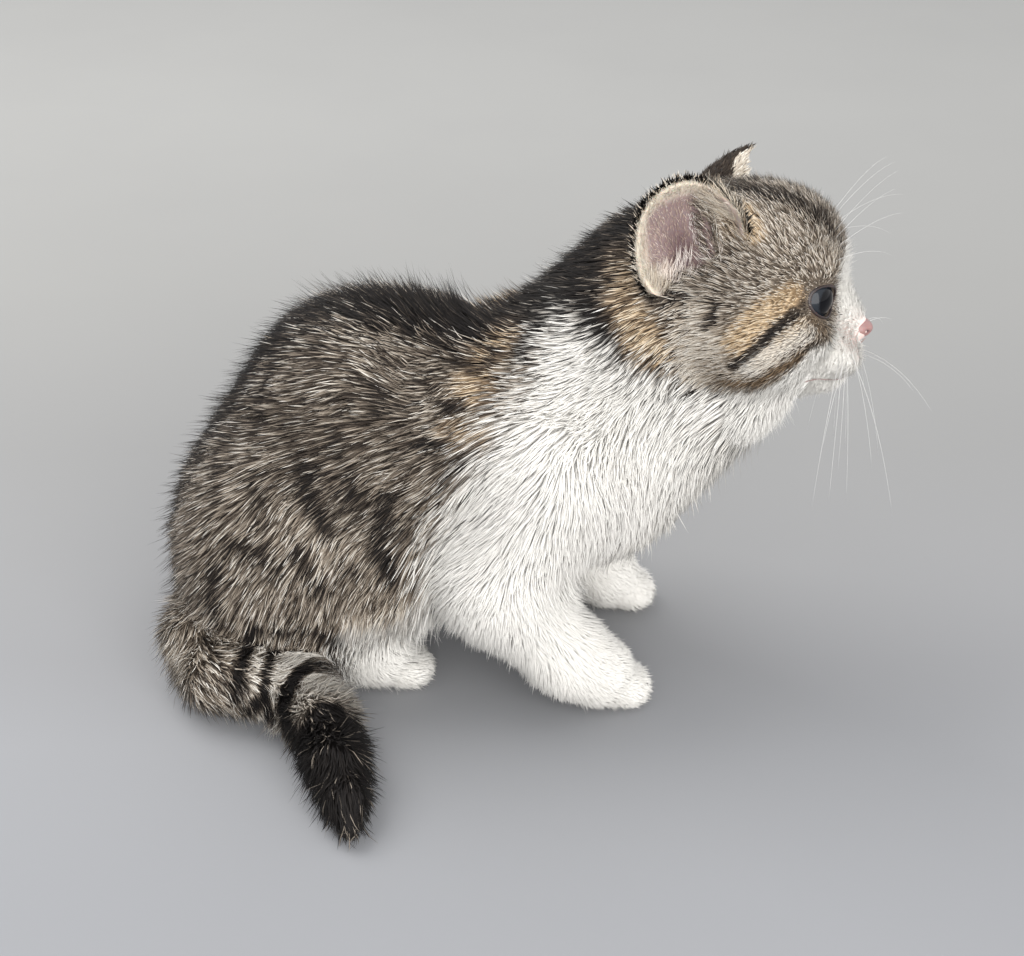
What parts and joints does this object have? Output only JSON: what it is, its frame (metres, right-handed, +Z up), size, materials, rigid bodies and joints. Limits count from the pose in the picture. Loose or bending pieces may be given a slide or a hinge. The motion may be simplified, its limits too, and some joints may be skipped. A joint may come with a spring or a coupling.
{
  "type": "kitten",
  "caption": "Life-size kitten crouched on its haunches and leaning forward to look, with a round head, cupped ears, a short muzzle and a tail curled round on the floor.",
  "frame": {"origin": "on the floor, under the middle of the animal's box", "axes": "+X forwards, the way the kitten looks; +Y to the kitten's left; +Z up"},
  "size_m": [0.2241, 0.1507, 0.1795],
  "materials": {
    "head": "short plush tabby and white fur, matt",
    "left_ear": "thin skin with fine short hair, matt",
    "right_ear": "thin skin with fine short hair, matt",
    "left_eye": "wet, polished",
    "right_eye": "wet, polished",
    "nose": "damp skin, satin",
    "neck": "short plush fur, matt",
    "chest": "plush white fur, matt",
    "flanks": "short plush fur, matt",
    "rump": "short plush fur, matt",
    "left_foreleg": "short plush fur, matt",
    "right_foreleg": "short plush fur, matt",
    "left_forepaw": "short plush fur, matt",
    "right_forepaw": "short plush fur, matt",
    "left_thigh": "short plush fur, matt",
    "right_thigh": "short plush fur, matt",
    "left_hind_paw": "short plush fur, matt",
    "right_hind_paw": "short plush fur, matt",
    "tail_base": "bushy fur, matt",
    "tail_middle": "bushy fur, matt",
    "tail_tip": "bushy fur, matt"
  },
  "bodies": {
    "root": {"head": "head", "left_ear": "left_ear", "right_ear": "right_ear", "left_eye": "left_eye", "right_eye": "right_eye", "nose": "nose", "neck": "neck", "chest": "chest", "flanks": "flanks", "rump": "rump", "left_foreleg": "left_foreleg", "right_foreleg": "right_foreleg", "left_forepaw": "left_forepaw", "right_forepaw": "right_forepaw", "left_thigh": "left_thigh", "right_thigh": "right_thigh", "left_hind_paw": "left_hind_paw", "right_hind_paw": "right_hind_paw", "tail_base": "tail_base", "tail_middle": "tail_middle", "tail_tip": "tail_tip"}
  },
  "joints": []
}
